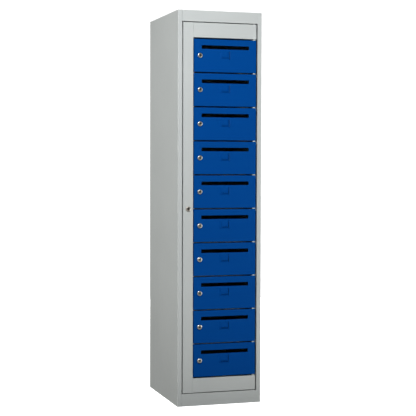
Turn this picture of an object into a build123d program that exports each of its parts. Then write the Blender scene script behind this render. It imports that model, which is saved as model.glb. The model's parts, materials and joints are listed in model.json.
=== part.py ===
"""Tall sheet-steel distribution locker: ten letter-slot doors hung in one full-height service door.

The carcass is folded from 1 mm sheet, and a service door fills its front.  The service door is a frame of
two stiles and two rails.  Ten small doors hang in it, on pivot pins along the same line that the service
door turns on.  Every small door has a letter slot, three pressed lips for a name card and a cam lock.
The service door has a cam lock too, which also drives two flat rods into the top and the base.

Frame: origin on the floor at the middle of the carcass, +X to the right seen from the front, +Y to the
back, +Z up.  All sizes are in millimetres.  The doors are drawn shut with every lock turned to open, so
the cams point up and the rods are drawn in.
"""

import os
from math import cos, radians

from build123d import *

# ---------------------------------------------------------------- driving dimensions
WIDTH, DEPTH, HEIGHT = 400, 500, 1800
SHEET = 1.0  # thickness of all folded sheet
BEND = 1.5  # outer radius of a fold
SLIP = 0.1  # gap left where one folded panel tucks inside another
FLANGE = 15  # turned-down edges of the roof, the base and the compartment floors

JAMB, JAMB_DEPTH, HINGE_JAMB_DEPTH = 20, 25, 8  # the carcass's front edges, and their returns
STOP_LIP = 7  # the lock-side jamb's lip, which the service door closes against
PLINTH_HEIGHT, HEADER_HEIGHT = 57, 51
LEDGE_DEPTH = 37  # how far the header's ledge runs back, past the upper rod's slot

DOORS = 10
PITCH = 154.5  # from one small door to the next
DOOR_GAP = 5.6  # between two small doors, where the hinge lugs show
FIRST_GAP = 129.75  # height of the middle of the gap under the lowest small door

SERVICE_GAP = 3.5  # over and under the service door
JAMB_GAP, HINGE_JAMB_GAP = 4.8, 5.3  # between the service door and the jambs, lock side and hinge side
LOCK_GAP, HINGE_GAP = 3.6, 6.5  # from the small doors to the lock stile, and to the hinge-side jamb
RAIL_GAP = 3.4  # from the middle of the end gaps to the rails
LOCK_STILE = 47.7  # width of the lock-side stile
HINGE_STILE, HINGE_STILE_DEPTH = 25, 19
SERVICE_DEPTH, RAIL_DEPTH = 22, 20
PAN_DEPTH = 14  # depth of a small door

HINGE_X, HINGE_INSET = 164, 6  # the line that every door turns on, and its distance behind the front
SMALL_PIN, SERVICE_PIN, PIN_CLEAR = 2, 3, 0.05  # radii of the hinge pins, and the room round them
LUG_THICK, LUG_WIDTH, PIN_REACH = 4.4, 12, 7.5
SLOT_LENGTH, SLOT_HEIGHT, SLOT_RISE = 226, 16.4, 38.4  # the letter slot, and its rise over the centre
SLOT_X = 25
LOCK_X, SERVICE_LOCK_X = -96, -151

HEAD_RADIUS, HEAD_PROUD, HEAD_ROUND = 12, 5.5, 3.8  # the cam locks' heads
BARREL_RADIUS, BARREL_FLATS = 9.5, 16
BORE_RADIUS, BORE_BEVEL, PLUG_RADIUS = 5.8, 0.5, 5.75
NUT_RADIUS, NUT_THICK = 14, 4
PLUG_SUNK, KEYWAY = 0.6, (2.2, 8.5)  # the plug's face, under the head's, and the key slot
DISH_RADIUS, DISH_DEPTH = 3.6, 0.8  # the hollow in the plug's face that guides the key
SQUARE = 6  # side of the square hole that turns a cam or a disc
SMALL_BARREL, SERVICE_BARREL = 18, 24  # how far the barrels run back from the front
CAM_WIDTH, CAM_REACH, CAM_THICK = 14, 38, 2

ROD_WIDTH, ROD_THICK, ROD_INSET = 13, 3, 26.5  # the service door's two rods
ROD_INNER = 5  # from the lock's axis to the near edge of a rod
DRIVE_PIN, PIN_CIRCLE = 2, 13  # radius of a drive pin, and of the circle that it runs on
DISC_RADIUS, DISC_THICK, TONGUE_WIDTH, TONGUE_REACH = 17, 2.5, 9, 27
GUIDE_HEIGHT, GUIDE_WALL = 20, 2.5

# ---------------------------------------------------------------- places worked out from them
FRONT, BACK = -DEPTH / 2, DEPTH / 2
HALF, INSIDE = WIDTH / 2, WIDTH / 2 - SHEET
PANEL_HALF = INSIDE - 3 * SLIP  # half the width of what fits between the side panels
OPENING_X = HALF - JAMB
CAP_HALF = OPENING_X - SLIP  # half the width of the header and of the plinth, between the jambs
OPENING_LOW, OPENING_HIGH = PLINTH_HEIGHT, HEIGHT - HEADER_HEIGHT
LIP_FRONT = FRONT + JAMB_DEPTH
REAR_FACE = BACK - SHEET  # front of the side panels' rear flanges

GAPS = [FIRST_GAP + PITCH * k for k in range(DOORS + 1)]  # heights of the lugs, lowest first
CENTRES = [GAPS[-1] - PITCH * (k + 0.5) for k in range(DOORS)]  # heights of the small doors, door 1 on top
MIDDLE = (GAPS[0] + GAPS[-1]) / 2  # height of the service door's lock
SERVICE_LOW, SERVICE_HIGH = OPENING_LOW + SERVICE_GAP, OPENING_HIGH - SERVICE_GAP
SERVICE_LEFT, SERVICE_RIGHT = -OPENING_X + JAMB_GAP, OPENING_X - HINGE_JAMB_GAP
STILE_EDGE = SERVICE_LEFT + LOCK_STILE
DOOR_LEFT, DOOR_RIGHT = STILE_EDGE + LOCK_GAP, OPENING_X - HINGE_GAP
SMALL_STOP = FRONT + PAN_DEPTH + 1  # front of the stile's lip that the small doors close against
HINGE_Y = FRONT + HINGE_INSET
HINGE_STILE_FRONT = FRONT + RAIL_DEPTH
SHELF_FRONT = FRONT + 45

ROD_FRONT = FRONT + ROD_INSET
ROD_BACK = ROD_FRONT + ROD_THICK
UPPER_ROD_X = SERVICE_LOCK_X + ROD_INNER + ROD_WIDTH / 2
LOWER_ROD_X = SERVICE_LOCK_X - ROD_INNER - ROD_WIDTH / 2
PIN_RISE = PIN_CIRCLE * cos(radians(45))  # a drive pin goes from this far below the axis to as far above it
DISC_FRONT = ROD_BACK + 0.3

os.makedirs("parts", exist_ok=True)


# ---------------------------------------------------------------- helpers
def save(piece, label):
    """Labels a finished builder's part and writes it."""
    piece.part.label = label
    export_step(piece.part, f"parts/{label}.step")


def front_plane(y, x=0, z=0):
    """A plane facing the front at depth y, with +X to the right and +Z up."""
    return Plane(origin=(x, y, z), x_dir=(1, 0, 0), z_dir=(0, -1, 0))


def folded_outline(points, side):
    """The section of a sheet folded along points, for use inside a BuildSketch."""
    with BuildLine() as section:
        fold = FilletPolyline(*points, radius=BEND)
        offset(fold, amount=SHEET, side=side)
    make_face(section.line)


def block(low, high, mode=Mode.ADD):
    """A box between two corners, for use inside a BuildPart."""
    with Locations([((low[0] + high[0]) / 2, (low[1] + high[1]) / 2, (low[2] + high[2]) / 2)]):
        Box(high[0] - low[0], high[1] - low[1], high[2] - low[2], mode=mode)


def pan(x_range, z_range, depth):
    """A sheet pan, face at the front, flanges all round and open at the back, for use inside a BuildPart."""
    (x0, x1), (z0, z1) = x_range, z_range
    with BuildSketch(front_plane(FRONT, (x0 + x1) / 2, (z0 + z1) / 2)) as face:
        Rectangle(x1 - x0, z1 - z0)
    body = extrude(face.sketch, amount=-depth)
    fillet(body.faces().sort_by(Axis.Y)[0].edges(), BEND)
    offset(amount=-SHEET, openings=body.faces().sort_by(Axis.Y)[-1])


def round_hole(x, y, z, radius):
    """Cuts an upright round hole through the sheet whose middle is near height z, inside a BuildPart."""
    with BuildSketch(Plane.XY.offset(z - 2 * SHEET)) as hole:
        with Locations((x, y)):
            Circle(radius)
    extrude(hole.sketch, amount=4 * SHEET, mode=Mode.SUBTRACT)


def lock_hole(x, z):
    """Cuts a lock's two-flat hole through the front sheet, inside a BuildPart."""
    with BuildSketch(front_plane(FRONT, x, z)) as hole:
        Circle(BARREL_RADIUS + SLIP)
        Rectangle(3 * BARREL_RADIUS, BARREL_FLATS + 2 * SLIP, mode=Mode.INTERSECT)
    extrude(hole.sketch, amount=-SHEET, mode=Mode.SUBTRACT)


# ---------------------------------------------------------------- carcass
def side_panel(hand):
    """A side with its front jamb, rear flange and foot; hand is -1 on the lock side, 1 on the hinge side."""
    jamb_back = LIP_FRONT if hand < 0 else FRONT + HINGE_JAMB_DEPTH
    fold = [
        (hand * OPENING_X, jamb_back),
        (hand * OPENING_X, FRONT),
        (hand * HALF, FRONT),
        (hand * HALF, BACK),
        (hand * OPENING_X, BACK),
    ]
    if hand < 0:  # the lip that the service door closes against
        fold.insert(0, (-OPENING_X + STOP_LIP, LIP_FRONT))
    with BuildPart() as panel:
        with BuildSketch(Plane.XY):
            folded_outline(fold, Side.LEFT if hand > 0 else Side.RIGHT)
        extrude(amount=HEIGHT)
        near, far = sorted((hand * OPENING_X, hand * (HALF - SHEET / 2)))
        block((near, FRONT + SHEET / 2, 0), (far, BACK - SHEET / 2, SHEET))
        # the roof lies between the outer skins, so everything inside them stops below it
        near, far = sorted((hand * (OPENING_X - STOP_LIP - 1), hand * INSIDE))
        under_roof = HEIGHT - SHEET - SLIP
        block((near, FRONT + SHEET, under_roof), (far, REAR_FACE, HEIGHT + 1), Mode.SUBTRACT)
    return panel


save(side_panel(-1), "left_side_panel")
save(side_panel(1), "right_side_panel")

WALL_HOLE_RADIUS, WALL_HOLE_X = 4, 120
with BuildPart() as back_panel:
    back_low, back_high = SHEET + 2 * SLIP, HEIGHT - SHEET - 3 * SLIP
    back_half = PANEL_HALF - 5 * SLIP  # clear of the folds in the corners
    block((-back_half, REAR_FACE - SHEET, back_low), (back_half, REAR_FACE, back_high))
    for z in (CENTRES[-1], CENTRES[0]):
        with BuildSketch(front_plane(REAR_FACE, 0, z)):
            with GridLocations(2 * WALL_HOLE_X, 0, 2, 1):
                Circle(WALL_HOLE_RADIUS)
    extrude(amount=SHEET, mode=Mode.SUBTRACT)
save(back_panel, "back_panel")


def ledge_cuts(z, rod_x):
    """Cuts a ledge round the stop lip, with the rod's slot and the hinge pin's hole, inside a BuildPart."""
    notch_right = -OPENING_X + STOP_LIP + 3 * SLIP
    notch_front = LIP_FRONT - BEND - 3 * SLIP
    block((-OPENING_X - 1, notch_front, z - 2), (notch_right, LIP_FRONT + 1.5, z + 2), Mode.SUBTRACT)
    with BuildSketch(Plane.XY.offset(z - 2)) as rod_slot:
        with Locations((rod_x, ROD_FRONT + ROD_THICK / 2)):
            Rectangle(ROD_WIDTH + 3, ROD_THICK + 4)
    extrude(rod_slot.sketch, amount=4, mode=Mode.SUBTRACT)
    round_hole(HINGE_X, HINGE_Y, z, SERVICE_PIN)


def tray(front, z):
    """A level sheet between the sides with its side edges turned down, inside a BuildPart; z is its top."""
    rear = REAR_FACE - 2 * SHEET
    block((-PANEL_HALF, front, z - SHEET), (PANEL_HALF, rear, z))
    for x in (-PANEL_HALF, PANEL_HALF - SHEET):
        block((x, front, z - FLANGE), (x + SHEET, rear, z))


ROOF_FRONT = FRONT + SHEET + 3 * SLIP
FLOOR_FRONT = LIP_FRONT + 3
with BuildPart() as roof_panel:
    with BuildSketch(Plane.YZ.offset(-CAP_HALF)):
        header = [
            (FRONT + LEDGE_DEPTH, OPENING_HIGH),
            (FRONT, OPENING_HIGH),
            (FRONT, HEIGHT),
            (FLOOR_FRONT, HEIGHT),
        ]
        folded_outline(header, Side.RIGHT)
    extrude(amount=2 * CAP_HALF)
    block((-PANEL_HALF, ROOF_FRONT, HEIGHT - SHEET), (PANEL_HALF, REAR_FACE - SLIP, HEIGHT))
    tray(FLOOR_FRONT, HEIGHT)
    ledge_cuts(OPENING_HIGH, UPPER_ROD_X)
save(roof_panel, "roof_panel")

with BuildPart() as base_panel:
    with BuildSketch(Plane.YZ.offset(-CAP_HALF)):
        plinth = [(FRONT + 20, 0), (FRONT, 0), (FRONT, OPENING_LOW), (FLOOR_FRONT + 1, OPENING_LOW)]
        folded_outline(plinth, Side.RIGHT)
    extrude(amount=2 * CAP_HALF)
    tray(FLOOR_FRONT, OPENING_LOW)
    ledge_cuts(OPENING_LOW, LOWER_ROD_X)
save(base_panel, "base_panel")

with BuildPart() as compartment_floors:
    for z in GAPS[:-1]:  # each is a tray, open below, with all four edges turned down
        rear = REAR_FACE - 2 * SHEET
        tray(SHELF_FRONT, z)
        for y in (SHELF_FRONT, rear - SHEET):
            block((-PANEL_HALF, y, z - FLANGE), (PANEL_HALF, y + SHEET, z))
save(compartment_floors, "compartment_floors")

STRIKE_HALF, STRIKE_WIDTH, STRIKE_THICK = 22, 8, 3
with BuildPart() as strike_plate:
    strike_front = LIP_FRONT + SHEET
    strike_low = (-OPENING_X, strike_front, MIDDLE - STRIKE_HALF)
    block(strike_low, (-OPENING_X + STRIKE_WIDTH, strike_front + STRIKE_THICK, MIDDLE + STRIKE_HALF))
    chamfer(strike_plate.faces().sort_by(Axis.Y)[-1].edges().filter_by(Axis.X), 1.5)
save(strike_plate, "service_strike_plate")

HINGE_PIN_LENGTH, HINGE_PIN_HEAD = 14, 4.5
with BuildPart() as service_hinge_pins:
    # each pin is held in its ledge by a head, and the lower one's collar carries the service door
    for ledge, up in ((OPENING_HIGH + SHEET, -1), (OPENING_LOW - SHEET, 1)):
        with BuildSketch(Plane(origin=(HINGE_X, HINGE_Y, ledge), z_dir=(0, 0, up))):
            Circle(SERVICE_PIN)
        extrude(amount=HINGE_PIN_LENGTH)
        with BuildSketch(Plane(origin=(HINGE_X, HINGE_Y, ledge), z_dir=(0, 0, up))):
            Circle(HINGE_PIN_HEAD)
        extrude(amount=-3)
    with BuildSketch(Plane(origin=(HINGE_X, HINGE_Y, OPENING_LOW))):
        Circle(HINGE_PIN_HEAD)
    extrude(amount=SERVICE_GAP - SLIP)
save(service_hinge_pins, "service_hinge_pins")

# ---------------------------------------------------------------- service door
STILE_TURN, SMALL_LIP = 3, 12  # the stile's turned-in rear edge, and its lip behind the small doors
with BuildPart() as lock_stile:
    with BuildSketch(Plane.XY.offset(SERVICE_LOW)):
        stile = [
            (SERVICE_LEFT + STILE_TURN, FRONT + SERVICE_DEPTH),
            (SERVICE_LEFT, FRONT + SERVICE_DEPTH),
            (SERVICE_LEFT, FRONT),
            (STILE_EDGE, FRONT),
            (STILE_EDGE, SMALL_STOP),
            (STILE_EDGE + SMALL_LIP, SMALL_STOP),
        ]
        folded_outline(stile, Side.LEFT)
    extrude(amount=SERVICE_HIGH - SERVICE_LOW)
    # the lip stops at the rails
    for low, high in ((SERVICE_LOW - 1, GAPS[0]), (GAPS[-1], SERVICE_HIGH + 1)):
        block((STILE_EDGE, FRONT, low), (STILE_EDGE + 20, FRONT + 20, high), Mode.SUBTRACT)
    lock_hole(SERVICE_LOCK_X, MIDDLE)
save(lock_stile, "lock_stile")

with BuildPart() as hinge_stile:
    with BuildSketch(Plane.XY.offset(SERVICE_LOW)):
        hinge_stile_back = HINGE_STILE_FRONT + HINGE_STILE_DEPTH
        stile = [
            (SERVICE_RIGHT - HINGE_STILE, hinge_stile_back),
            (SERVICE_RIGHT - HINGE_STILE, HINGE_STILE_FRONT),
            (SERVICE_RIGHT, HINGE_STILE_FRONT),
            (SERVICE_RIGHT, hinge_stile_back),
        ]
        folded_outline(stile, Side.LEFT)
    extrude(amount=SERVICE_HIGH - SERVICE_LOW)
save(hinge_stile, "hinge_stile")

with BuildPart() as top_rail:
    pan((STILE_EDGE, SERVICE_RIGHT), (GAPS[-1] + RAIL_GAP, SERVICE_HIGH), RAIL_DEPTH)
    round_hole(HINGE_X, HINGE_Y, SERVICE_HIGH, SERVICE_PIN + PIN_CLEAR)
save(top_rail, "top_rail")

with BuildPart() as bottom_rail:
    pan((STILE_EDGE, SERVICE_RIGHT), (SERVICE_LOW, GAPS[0] - RAIL_GAP), RAIL_DEPTH)
    round_hole(HINGE_X, HINGE_Y, SERVICE_LOW, SERVICE_PIN + PIN_CLEAR)
save(bottom_rail, "bottom_rail")

with BuildPart() as door_hinge_lugs:
    for z in GAPS:
        with BuildSketch(Plane.XY.offset(z - LUG_THICK / 2)):
            lug_front = FRONT + 0.3
            with Locations((HINGE_X, (lug_front + HINGE_STILE_FRONT) / 2)):
                lug = Rectangle(LUG_WIDTH, HINGE_STILE_FRONT - lug_front)
            fillet(lug.vertices().group_by(Axis.Y)[0], 2)
            with Locations((HINGE_X, HINGE_Y)):
                Circle(SMALL_PIN, mode=Mode.SUBTRACT)
        extrude(amount=LUG_THICK)
save(door_hinge_lugs, "door_hinge_lugs")

with BuildPart() as door_hinge_pins:
    for z in GAPS:
        low = LUG_THICK / 2 if z == GAPS[0] else PIN_REACH
        high = LUG_THICK / 2 if z == GAPS[-1] else PIN_REACH
        with BuildSketch(Plane(origin=(HINGE_X, HINGE_Y, z - low))):
            Circle(SMALL_PIN)
        extrude(amount=low + high)
save(door_hinge_pins, "door_hinge_pins")


# ---------------------------------------------------------------- small doors
LABEL_X0, LABEL_X1 = -2, 50  # outer edges of the card holder
LABEL_LOW, LABEL_HIGH = -12.8, 20.5  # its height, from the door's centre
LIP_WIDTH, LIP_RISE, LIP_SHEET = 7.5, 4.4, 0.9
LOWER_LIP = 29  # length of the lip under the card


def card_lip(x, z, toward, length):
    """A pressed lip: a slope from a closed edge centred at x, z up to a free edge toward the card."""
    along = Vector(*toward).cross(Vector(0, 1, 0))
    profile_plane = Plane(origin=(x, FRONT, z), x_dir=toward, z_dir=along)
    outward = 1 if profile_plane.y_dir.Y < 0 else -1
    root = LIP_SHEET * LIP_WIDTH / LIP_RISE
    skin = [(0, 0), (LIP_WIDTH, LIP_RISE), (LIP_WIDTH, 0)]
    hollow = [(root, -SHEET), (root, 0), (LIP_WIDTH, LIP_RISE - LIP_SHEET), (LIP_WIDTH, -SHEET)]
    for outline, reach, mode in ((skin, length, Mode.ADD), (hollow, length - 2 * LIP_SHEET, Mode.SUBTRACT)):
        with BuildSketch(profile_plane) as section:
            with BuildLine():
                Polyline(*[(u, outward * v) for u, v in outline], close=True)
            make_face()
        extrude(section.sketch, amount=reach / 2, both=True, mode=mode)


def door_panel(centre):
    """A small door: a pan with its letter slot, card holder, lock hole and pivot holes."""
    low, high = centre - (PITCH - DOOR_GAP) / 2, centre + (PITCH - DOOR_GAP) / 2
    with BuildPart() as door:
        pan((DOOR_LEFT, DOOR_RIGHT), (low, high), PAN_DEPTH)
        with BuildSketch(front_plane(FRONT, SLOT_X, centre + SLOT_RISE)):
            RectangleRounded(SLOT_LENGTH, SLOT_HEIGHT, 2)
        extrude(amount=-SHEET, mode=Mode.SUBTRACT)
        label_x, label_z = (LABEL_X0 + LABEL_X1) / 2, centre + (LABEL_LOW + LABEL_HIGH) / 2
        card_lip(LABEL_X0, label_z, (1, 0, 0), LABEL_HIGH - LABEL_LOW)
        card_lip(LABEL_X1, label_z, (-1, 0, 0), LABEL_HIGH - LABEL_LOW)
        card_lip(label_x, centre + LABEL_LOW, (0, 0, 1), LOWER_LIP)
        lock_hole(LOCK_X, centre)
        for z in (low + SHEET / 2, high - SHEET / 2):
            round_hole(HINGE_X, HINGE_Y, z, SMALL_PIN + PIN_CLEAR)
    return door


# ---------------------------------------------------------------- locks
def lock_housing(x, z, barrel):
    """A lock's head and barrel, with the nut that holds it as a second solid."""
    with BuildPart() as housing:
        with BuildSketch(front_plane(FRONT, x, z)):
            Circle(HEAD_RADIUS)
        head = extrude(amount=HEAD_PROUD)
        fillet(head.faces().sort_by(Axis.Y)[0].edges(), HEAD_ROUND)
        with BuildSketch(front_plane(FRONT, x, z)):
            Circle(BARREL_RADIUS)
            Rectangle(3 * BARREL_RADIUS, BARREL_FLATS, mode=Mode.INTERSECT)
        extrude(amount=-barrel)
        with BuildSketch(front_plane(FRONT - HEAD_PROUD, x, z)):
            Circle(BORE_RADIUS)
        extrude(amount=-(HEAD_PROUD + barrel), mode=Mode.SUBTRACT)
        mouth = housing.faces().sort_by(Axis.Y)[0].edges().sort_by(SortBy.LENGTH)[0]
        chamfer(mouth, BORE_BEVEL)
        with BuildSketch(front_plane(FRONT + SHEET, x, z)):
            RegularPolygon(NUT_RADIUS, 6)
            Circle(BARREL_RADIUS + SLIP, mode=Mode.SUBTRACT)
        extrude(amount=-NUT_THICK)
    return housing


def lock_plug(x, z, barrel, spindle, tail):
    """A lock's plug with its key slot, a spindle behind it and a square tail."""
    square = SQUARE - 2 * SLIP
    with BuildPart() as plug:
        face = FRONT - HEAD_PROUD + PLUG_SUNK
        with BuildSketch(front_plane(face, x, z)):
            Circle(PLUG_RADIUS)
        extrude(amount=-(HEAD_PROUD - PLUG_SUNK + barrel))
        with BuildSketch(front_plane(face, x, z)):
            Circle(DISH_RADIUS)
        extrude(amount=-DISH_DEPTH, mode=Mode.SUBTRACT)
        with BuildSketch(front_plane(face, x, z)):
            Rectangle(*KEYWAY)
            with Locations((KEYWAY[0] / 2, 1)):
                Rectangle(KEYWAY[0], 2)
        extrude(amount=-8, mode=Mode.SUBTRACT)
        with BuildSketch(front_plane(FRONT + barrel, x, z)):
            Circle(4.4)
        extrude(amount=-spindle)
        with BuildSketch(front_plane(FRONT + barrel + spindle, x, z)):
            Rectangle(square, square)
        extrude(amount=-tail)
    return plug


def tail_screw(x, y, z):
    """The screw's head behind a cam or a disc, a solid of its own, inside a BuildPart."""
    with BuildSketch(front_plane(y + SLIP, x, z)) as head:
        RegularPolygon(5, 6)
    extrude(head.sketch, amount=-3.5)


def lock_cam(z):
    """A small lock's cam, pointing up, with its screw."""
    cam_front = FRONT + SMALL_BARREL + 0.5
    with BuildPart() as cam:
        with BuildSketch(front_plane(cam_front, LOCK_X, z)):
            with Locations((0, (CAM_REACH - CAM_WIDTH / 2) / 2)):
                blade = Rectangle(CAM_WIDTH, CAM_REACH + CAM_WIDTH / 2)
            fillet(blade.vertices(), 4)
            Rectangle(SQUARE, SQUARE, mode=Mode.SUBTRACT)
        extrude(amount=-CAM_THICK)
        tail_screw(LOCK_X, cam_front + CAM_THICK, z)
    return cam


for number, centre in enumerate(CENTRES, start=1):
    save(door_panel(centre), f"door_panel_{number:02d}")
    save(lock_housing(LOCK_X, centre, SMALL_BARREL), f"lock_housing_{number:02d}")
    save(lock_plug(LOCK_X, centre, SMALL_BARREL, 0.5, CAM_THICK), f"lock_plug_{number:02d}")
    save(lock_cam(centre), f"lock_cam_{number:02d}")

save(lock_housing(SERVICE_LOCK_X, MIDDLE, SERVICE_BARREL), "service_lock_housing")
disc_gap = DISC_FRONT - FRONT - SERVICE_BARREL
save(lock_plug(SERVICE_LOCK_X, MIDDLE, SERVICE_BARREL, disc_gap, DISC_THICK), "service_lock_plug")

with BuildPart() as service_lock_disc:
    with BuildSketch(front_plane(DISC_FRONT, SERVICE_LOCK_X, MIDDLE)):
        Circle(DISC_RADIUS)
        with Locations((0, TONGUE_REACH / 2)):
            Rectangle(TONGUE_WIDTH, TONGUE_REACH)
        Rectangle(SQUARE, SQUARE, mode=Mode.SUBTRACT)
    extrude(amount=-DISC_THICK)
    with BuildSketch(front_plane(DISC_FRONT, SERVICE_LOCK_X, MIDDLE)):
        with Locations((PIN_RISE, -PIN_RISE), (-PIN_RISE, PIN_RISE)):
            Circle(DRIVE_PIN)
    extrude(amount=ROD_THICK + 1)
    tail_screw(SERVICE_LOCK_X, DISC_FRONT + DISC_THICK, MIDDLE)
save(service_lock_disc, "service_lock_disc")


# ---------------------------------------------------------------- rods
def latch_rod(rod_x, side, way, tip):
    """A flat rod from its drive pin to tip; way is 1 upwards, and side is 1 if the pin is right of the axis."""
    pin_z = MIDDLE - way * PIN_RISE
    near, far = PIN_RISE - DRIVE_PIN - 0.4, PIN_CIRCLE + DRIVE_PIN + 0.4
    slot_half = DRIVE_PIN + 0.6
    start = pin_z - way * (slot_half + 3.5)
    with BuildPart() as rod:
        with BuildSketch(front_plane(ROD_FRONT)):
            with Locations((rod_x, (start + tip) / 2)):
                bar = Rectangle(ROD_WIDTH, abs(tip - start))
            fillet(bar.vertices(), 2)
            with Locations((SERVICE_LOCK_X + side * (near + far) / 2, pin_z)):
                Rectangle(far - near, 2 * slot_half, mode=Mode.SUBTRACT)
        extrude(amount=-ROD_THICK)
    return rod


ROD_SHORT = 3.5  # how far a drawn-in rod stays inside the service door
save(latch_rod(UPPER_ROD_X, 1, 1, SERVICE_HIGH - ROD_SHORT), "upper_latch_rod")
save(latch_rod(LOWER_ROD_X, -1, -1, SERVICE_LOW + ROD_SHORT), "lower_latch_rod")

with BuildPart() as rod_guides:
    window = ROD_WIDTH / 2 + 3 * SLIP
    wall = window + GUIDE_WALL
    for rod_x, levels in ((UPPER_ROD_X, (GAPS[6], GAPS[10])), (LOWER_ROD_X, (GAPS[4], GAPS[0]))):
        for z in levels:
            low, high = z - GUIDE_HEIGHT / 2, z + GUIDE_HEIGHT / 2
            block((rod_x - wall, FRONT + SHEET, low), (rod_x + wall, ROD_BACK + GUIDE_WALL, high))
            block(
                (rod_x - window, ROD_FRONT - 3 * SLIP, low),
                (rod_x + window, ROD_BACK + 3 * SLIP, high),
                Mode.SUBTRACT,
            )
            block(
                (rod_x - window, FRONT + SHEET + GUIDE_WALL, low),
                (rod_x + window, ROD_FRONT - GUIDE_WALL, high),
                Mode.SUBTRACT,
            )
save(rod_guides, "rod_guides")
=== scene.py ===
"""The looks of a tall distribution locker: painted sheet, plated locks, buffers, light and camera.

Everything is in metres, in the CAD frame: origin on the floor under the middle of the carcass, +X to the
right seen from the front, +Y to the back, +Z up.
"""

import json
import math

import bmesh
import bpy
from mathutils import Matrix, Vector


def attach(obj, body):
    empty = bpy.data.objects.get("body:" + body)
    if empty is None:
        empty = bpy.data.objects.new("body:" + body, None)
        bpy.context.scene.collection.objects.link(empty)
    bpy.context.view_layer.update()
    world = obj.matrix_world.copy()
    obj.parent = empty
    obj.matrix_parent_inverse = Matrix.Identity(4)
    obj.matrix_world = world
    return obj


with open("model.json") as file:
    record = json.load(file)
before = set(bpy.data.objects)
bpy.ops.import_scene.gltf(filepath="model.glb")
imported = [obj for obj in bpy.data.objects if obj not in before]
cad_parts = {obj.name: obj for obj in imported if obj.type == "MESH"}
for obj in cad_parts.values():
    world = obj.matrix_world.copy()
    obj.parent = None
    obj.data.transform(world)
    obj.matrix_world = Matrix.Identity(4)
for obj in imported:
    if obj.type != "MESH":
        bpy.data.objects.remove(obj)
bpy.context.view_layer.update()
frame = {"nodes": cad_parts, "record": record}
NODES = frame["nodes"]
SLOT_OF = {part["node"]: part["material_slot"] for part in frame["record"]["subparts"]}

# ---------------------------------------------------------------- camera and light settings
CAMERA_PLACE = (-1.648, -5.337, 1.117)
CAMERA_YAW, CAMERA_PITCH, CAMERA_ROLL = 17.37, -2.27, 0.15  # degrees: to the right, up, anticlockwise
CAMERA_LENS, SENSOR = 101.25, 36.0
CLIP_START, CLIP_END = 0.1, 100

PAPER = (0.8, 0.8, 0.8)
FLOOR_REACH = 30
SHADOW_NEAR, SHADOW_FAR = 0.4, 2.2  # distances over which the paper's glow rises to white, dimmed near the object as a painted shadow
# the paper's glow near the object, dimmed as a painted shadow, and far from it
PAINTED_SHADOW_GLOW, GLOW_FAR = 0.86, 1.0
COOL, WARM, WHITE = (0.985, 1.0, 1.015), (1.0, 0.985, 0.955), (1.0, 1.0, 1.0)
# each softbox: where it stands, what it faces, its side, its power and its tint
LIGHTS = {
    "key": ((-0.95, -2.9, 2.8), (0, -0.25, 1.0), 1.0, 75, COOL),
    "front_low": ((2.4, -2.8, 0.35), (0, -0.25, 0.35), 1.4, 27, WARM),
    "left_high": ((-3.2, 0.2, 2.6), (-0.2, 0, 1.0), 1.6, 35, WHITE),
    "left_low": ((-3.2, 0.2, 0.8), (-0.2, 0, 0.8), 1.6, 30, WARM),
    "right_fill": ((3.2, 0.1, 1.6), (0.2, 0, 0.9), 2.0, 45, WHITE),
    "back_fill": ((1.8, 3.6, 0.95), (0.1, 0.25, 0.9), 1.6, 75, WHITE),
    "top": ((0, 0.45, 3.6), (0, 0.2, 1.8), 0.8, 13, WHITE),
    "front_card": ((1.6, -5.0, 0.7), (0, -0.25, 0.9), 3.0, 6, WARM),
    "floor_card": ((-0.2, -1.7, 0.02), (-0.2, -1.7, 2.0), 2.4, 5, WARM),
}

# ---------------------------------------------------------------- rubber buffers
DOORS, PITCH = 10, 0.1545
LOWEST_DOOR = 0.207  # height of the lowest small door's middle
BUFFER_RISE = 0.055  # of each small door's two buffers, above and below its middle
STILE_LIP = (-0.1225, -0.235)  # x and y of the lip behind the small doors, where their buffers sit
SMALL_RADIUS, SMALL_THICK = 0.003, 0.0009
STOP_LIP = (-0.1758, -0.225)  # the same on the jamb's lip, behind the service door
STOP_HEIGHTS = (0.2, 0.66, 1.14, 1.6)
STOP_RADIUS, STOP_THICK = 0.0026, 0.0028
RIM = 0.3  # the buffers' rounded rim, as a share of their thickness
FACETS = 24  # round a buffer


# ---------------------------------------------------------------- node helpers
MIX_FIRST, MIX_SECOND, MIX_RESULT = 6, 7, 2  # the mix node's sockets for colours


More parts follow.
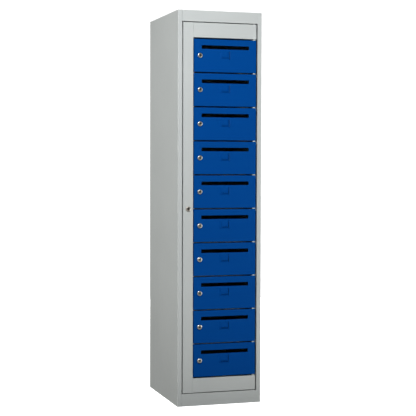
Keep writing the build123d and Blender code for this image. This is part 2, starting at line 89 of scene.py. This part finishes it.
class Material:
    """A principled material and the node graph that feeds it."""

    def __init__(self, name, colour, metallic=0.0, roughness=0.4):
        self.data = bpy.data.materials.new(name)
        self.data.use_nodes = True
        self.data.diffuse_color = (*colour, 1)
        self.tree = self.data.node_tree
        self.shader = self.tree.nodes["Principled BSDF"]
        self.set("Base Color", (*colour, 1))
        self.set("Metallic", metallic)
        self.set("Roughness", roughness)
        self.place = self.node("ShaderNodeTexCoord").outputs["Object"]

    def set(self, socket, value):
        self.shader.inputs[socket].default_value = value

    def node(self, kind, **properties):
        made = self.tree.nodes.new(kind)
        for key, value in properties.items():
            setattr(made, key, value)
        return made

    def link(self, source, target):
        self.tree.links.new(source, target)

    def noise(self, scale, detail=2.0, stretch=(1, 1, 1)):
        """Noise over the object's own coordinates; scale is features per metre."""
        mapping = self.node("ShaderNodeMapping")
        mapping.inputs["Scale"].default_value = stretch
        self.link(self.place, mapping.inputs["Vector"])
        made = self.node("ShaderNodeTexNoise")
        made.inputs["Scale"].default_value = scale
        made.inputs["Detail"].default_value = detail
        self.link(mapping.outputs["Vector"], made.inputs["Vector"])
        return made.outputs["Fac"]

    def span(self, source, low, high, start=0.3, end=0.7):
        """source, from start to end, turned into a number from low to high."""
        made = self.node("ShaderNodeMapRange", clamp=True)
        for key, value in (("From Min", start), ("From Max", end), ("To Min", low), ("To Max", high)):
            made.inputs[key].default_value = value
        self.link(source, made.inputs["Value"])
        return made.outputs["Result"]

    def mottled(self, source, colour, dark, light):
        """colour, from dark times itself to light times itself as source rises from 0 to 1."""
        made = self.node("ShaderNodeMix", data_type="RGBA")
        self.link(source, made.inputs["Factor"])
        made.inputs[MIX_FIRST].default_value = (*shade(colour, dark), 1)
        made.inputs[MIX_SECOND].default_value = (*shade(colour, light), 1)
        return made.outputs[MIX_RESULT]

    def bump(self, height, distance, under=None):
        """A bump of that height in metres; under is an earlier bump's normal."""
        made = self.node("ShaderNodeBump")
        made.inputs["Distance"].default_value = distance
        self.link(height, made.inputs["Height"])
        if under is not None:
            self.link(under, made.inputs["Normal"])
        return made.outputs["Normal"]

    def feed(self, socket, source):
        self.link(source, self.shader.inputs[socket])


def shade(colour, factor):
    return tuple(channel * factor for channel in colour)


# ---------------------------------------------------------------- materials
def powder_coat(name, colour, sheen):
    """Semi-matt powder coat: fine orange peel over very slightly wavy sheet, with faint mottling."""
    paint = Material(name, colour, roughness=0.42)
    paint.set("Specular IOR Level", sheen)
    mottle = paint.span(paint.noise(3.5, detail=3), 0, 1)
    paint.feed("Base Color", paint.mottled(mottle, colour, 0.975, 1.02))
    paint.feed("Roughness", paint.span(paint.noise(40, detail=4), 0.38, 0.47))
    waves = paint.bump(paint.noise(6, detail=1), 0.0006)
    paint.feed("Normal", paint.bump(paint.noise(650, detail=2), 0.00003, under=waves))
    return paint.data


def nickel(name, colour, roughness):
    """Nickel plate with fine polishing marks."""
    metal = Material(name, colour, metallic=1.0, roughness=roughness)
    marks = metal.noise(900, detail=3, stretch=(1, 1, 0.15))
    metal.feed("Roughness", metal.span(marks, roughness * 0.8, roughness * 1.3))
    tarnish = metal.span(metal.noise(120, detail=3), 0, 1)
    metal.feed("Base Color", metal.mottled(tarnish, colour, 0.9, 1))
    metal.feed("Normal", metal.bump(marks, 0.000004))
    return metal.data


def zinc():
    """Bright zinc plate on steel, with a faint spangle."""
    colour = (0.62, 0.63, 0.64)
    metal = Material("zinc_plate", colour, metallic=1.0, roughness=0.36)
    cells = metal.node("ShaderNodeTexVoronoi")
    cells.inputs["Scale"].default_value = 180
    metal.link(metal.place, cells.inputs["Vector"])
    spangle = metal.span(cells.outputs["Distance"], 0, 1)
    metal.feed("Base Color", metal.mottled(spangle, colour, 0.96, 1.04))
    metal.feed("Roughness", metal.span(metal.noise(300, detail=3), 0.38, 0.44))
    metal.feed("Normal", metal.bump(metal.noise(500, detail=2), 0.0000012))
    return metal.data


def nylon():
    plastic = Material("black_nylon", (0.018, 0.018, 0.02), roughness=0.5)
    plastic.feed("Roughness", plastic.span(plastic.noise(200), 0.42, 0.6))
    plastic.feed("Normal", plastic.bump(plastic.noise(900), 0.00001))
    return plastic.data


def rubber():
    foam = Material("grey_rubber", (0.05, 0.05, 0.052), roughness=0.7)
    foam.feed("Roughness", foam.span(foam.noise(400), 0.62, 0.8))
    foam.feed("Normal", foam.bump(foam.noise(1500), 0.00002))
    return foam.data


GREY, BLUE = (0.60, 0.625, 0.615), (0.0008, 0.086, 0.33)
MATERIALS = {
    "grey_paint": powder_coat("grey_powder_coat", GREY, 0.45),
    "blue_paint": powder_coat("blue_powder_coat", BLUE, 0.05),
    "nickel": nickel("nickel_plate", (0.78, 0.74, 0.68), 0.3),
    # painted shade: the plug's nickel is made far darker than the ring's nickel, standing in for the shade in
    # the lock's recessed face
    "plug_nickel": nickel("plug_nickel", (0.24, 0.225, 0.205), 0.38),
    "zinc_steel": zinc(),
    "nylon": nylon(),
}
RUBBER = rubber()


def dress_cad_nodes():
    """Gives each CAD node the material of its slot."""
    for name, node in NODES.items():
        node.data.materials.clear()
        node.data.materials.append(MATERIALS[SLOT_OF[name]])


# ---------------------------------------------------------------- small trim
def turned(build, place, profile):
    """A solid turned about an axis along Y through place; profile is (radius, how far forward)."""
    x, y, z = place
    angles = [2 * math.pi * k / FACETS for k in range(FACETS)]
    rings = []
    for radius, ahead in profile:
        across = [(radius * math.cos(angle), radius * math.sin(angle)) for angle in angles]
        rings.append([build.verts.new((x + dx, y - ahead, z + dz)) for dx, dz in across])
    for inner, outer in zip(rings, rings[1:]):
        for k in range(FACETS):
            build.faces.new((inner[k], inner[k - 1], outer[k - 1], outer[k]))
    build.faces.new(rings[0])
    build.faces.new(reversed(rings[-1]))


def buffers(name, places, radius, thick, body):
    """Rubber buffers stuck on a lip, one at each place, all riding on one body."""
    build = bmesh.new()
    rim = RIM * thick
    side = [(radius, 0), (radius, thick - rim)]
    rounding = [(radius - rim / 3, thick - rim / 3), (radius - rim, thick)]
    for place in places:
        turned(build, place, side + rounding)
    bmesh.ops.recalc_face_normals(build, faces=build.faces)
    made = bpy.data.objects.new(name, bpy.data.meshes.new(name))
    build.to_mesh(made.data)
    build.free()
    made.data.materials.append(RUBBER)
    bpy.context.scene.collection.objects.link(made)
    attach(made, body)


def trim():
    """Two buffers behind each small door, and four behind the service door."""
    middles = [LOWEST_DOOR + PITCH * k for k in range(DOORS)]
    small = [(*STILE_LIP, middle + side * BUFFER_RISE) for middle in middles for side in (-1, 1)]
    buffers("small_door_buffers", small, SMALL_RADIUS, SMALL_THICK, "service_door")
    stops = [(*STOP_LIP, height) for height in STOP_HEIGHTS]
    buffers("service_door_buffers", stops, STOP_RADIUS, STOP_THICK, "carcass")


# ---------------------------------------------------------------- studio
def paper_sweep():
    """White paper that glows, a little less near the object than far from it, as a painted shadow round it.
    """
    paper = Material("white_paper", PAPER, roughness=0.9)
    paper.set("Specular IOR Level", 0.0)
    paper.set("Emission Color", (1, 1, 1, 1))
    distance = paper.node("ShaderNodeVectorMath", operation="LENGTH")
    paper.link(paper.place, distance.inputs[0])
    # painted shadow: the glow is dimmed near the object
    glow = paper.span(distance.outputs["Value"], PAINTED_SHADOW_GLOW, GLOW_FAR, SHADOW_NEAR, SHADOW_FAR)
    paper.feed("Emission Strength", glow)
    return paper.data


def camera():
    data = bpy.data.cameras.new("camera")
    data.lens, data.sensor_width = CAMERA_LENS, SENSOR
    data.clip_start, data.clip_end = CLIP_START, CLIP_END
    made = bpy.data.objects.new("camera", data)
    bpy.context.scene.collection.objects.link(made)
    yaw, pitch = math.radians(CAMERA_YAW), math.radians(CAMERA_PITCH)
    ahead = Vector((math.sin(yaw) * math.cos(pitch), math.cos(yaw) * math.cos(pitch), math.sin(pitch)))
    right = Vector((math.cos(yaw), -math.sin(yaw), 0))
    turn = Matrix((right, right.cross(ahead), -ahead)).transposed()
    made.matrix_world = (
        Matrix.Translation(CAMERA_PLACE)
        @ turn.to_4x4()
        @ Matrix.Rotation(math.radians(CAMERA_ROLL), 4, "Z")
    )
    bpy.context.scene.camera = made


def softbox(name, place, aim, side, power, tint):
    """A square area light at place that faces aim."""
    data = bpy.data.lights.new(name, "AREA")
    data.size, data.energy, data.color = side, power, tint
    made = bpy.data.objects.new(name, data)
    bpy.context.scene.collection.objects.link(made)
    made.location = place
    made.rotation_euler = (Vector(aim) - Vector(place)).to_track_quat("-Z", "Y").to_euler()
    made.visible_camera = False


def studio():
    """A white sweep that the object doesn't see, and softboxes all round, the key at the upper front left."""
    world = bpy.data.worlds.new("studio")
    bpy.context.scene.world = world
    world.use_nodes = True
    world.node_tree.nodes["Background"].inputs["Color"].default_value = (1, 1, 1, 1)
    world.node_tree.nodes["Background"].inputs["Strength"].default_value = 1.0
    world.cycles_visibility.diffuse = False
    world.cycles_visibility.glossy = False
    bpy.context.scene.view_settings.view_transform = "Standard"
    bpy.context.scene.view_settings.look = "Medium High Contrast"

    floor = bpy.data.objects.new("floor", bpy.data.meshes.new("floor"))
    build = bmesh.new()
    bmesh.ops.create_grid(build, x_segments=1, y_segments=1, size=FLOOR_REACH)
    build.to_mesh(floor.data)
    build.free()
    bpy.context.scene.collection.objects.link(floor)
    floor.data.materials.append(paper_sweep())
    floor.visible_diffuse = False
    floor.visible_glossy = False

    for name, settings in LIGHTS.items():
        softbox(name, *settings)


dress_cad_nodes()
trim()
camera()
studio()
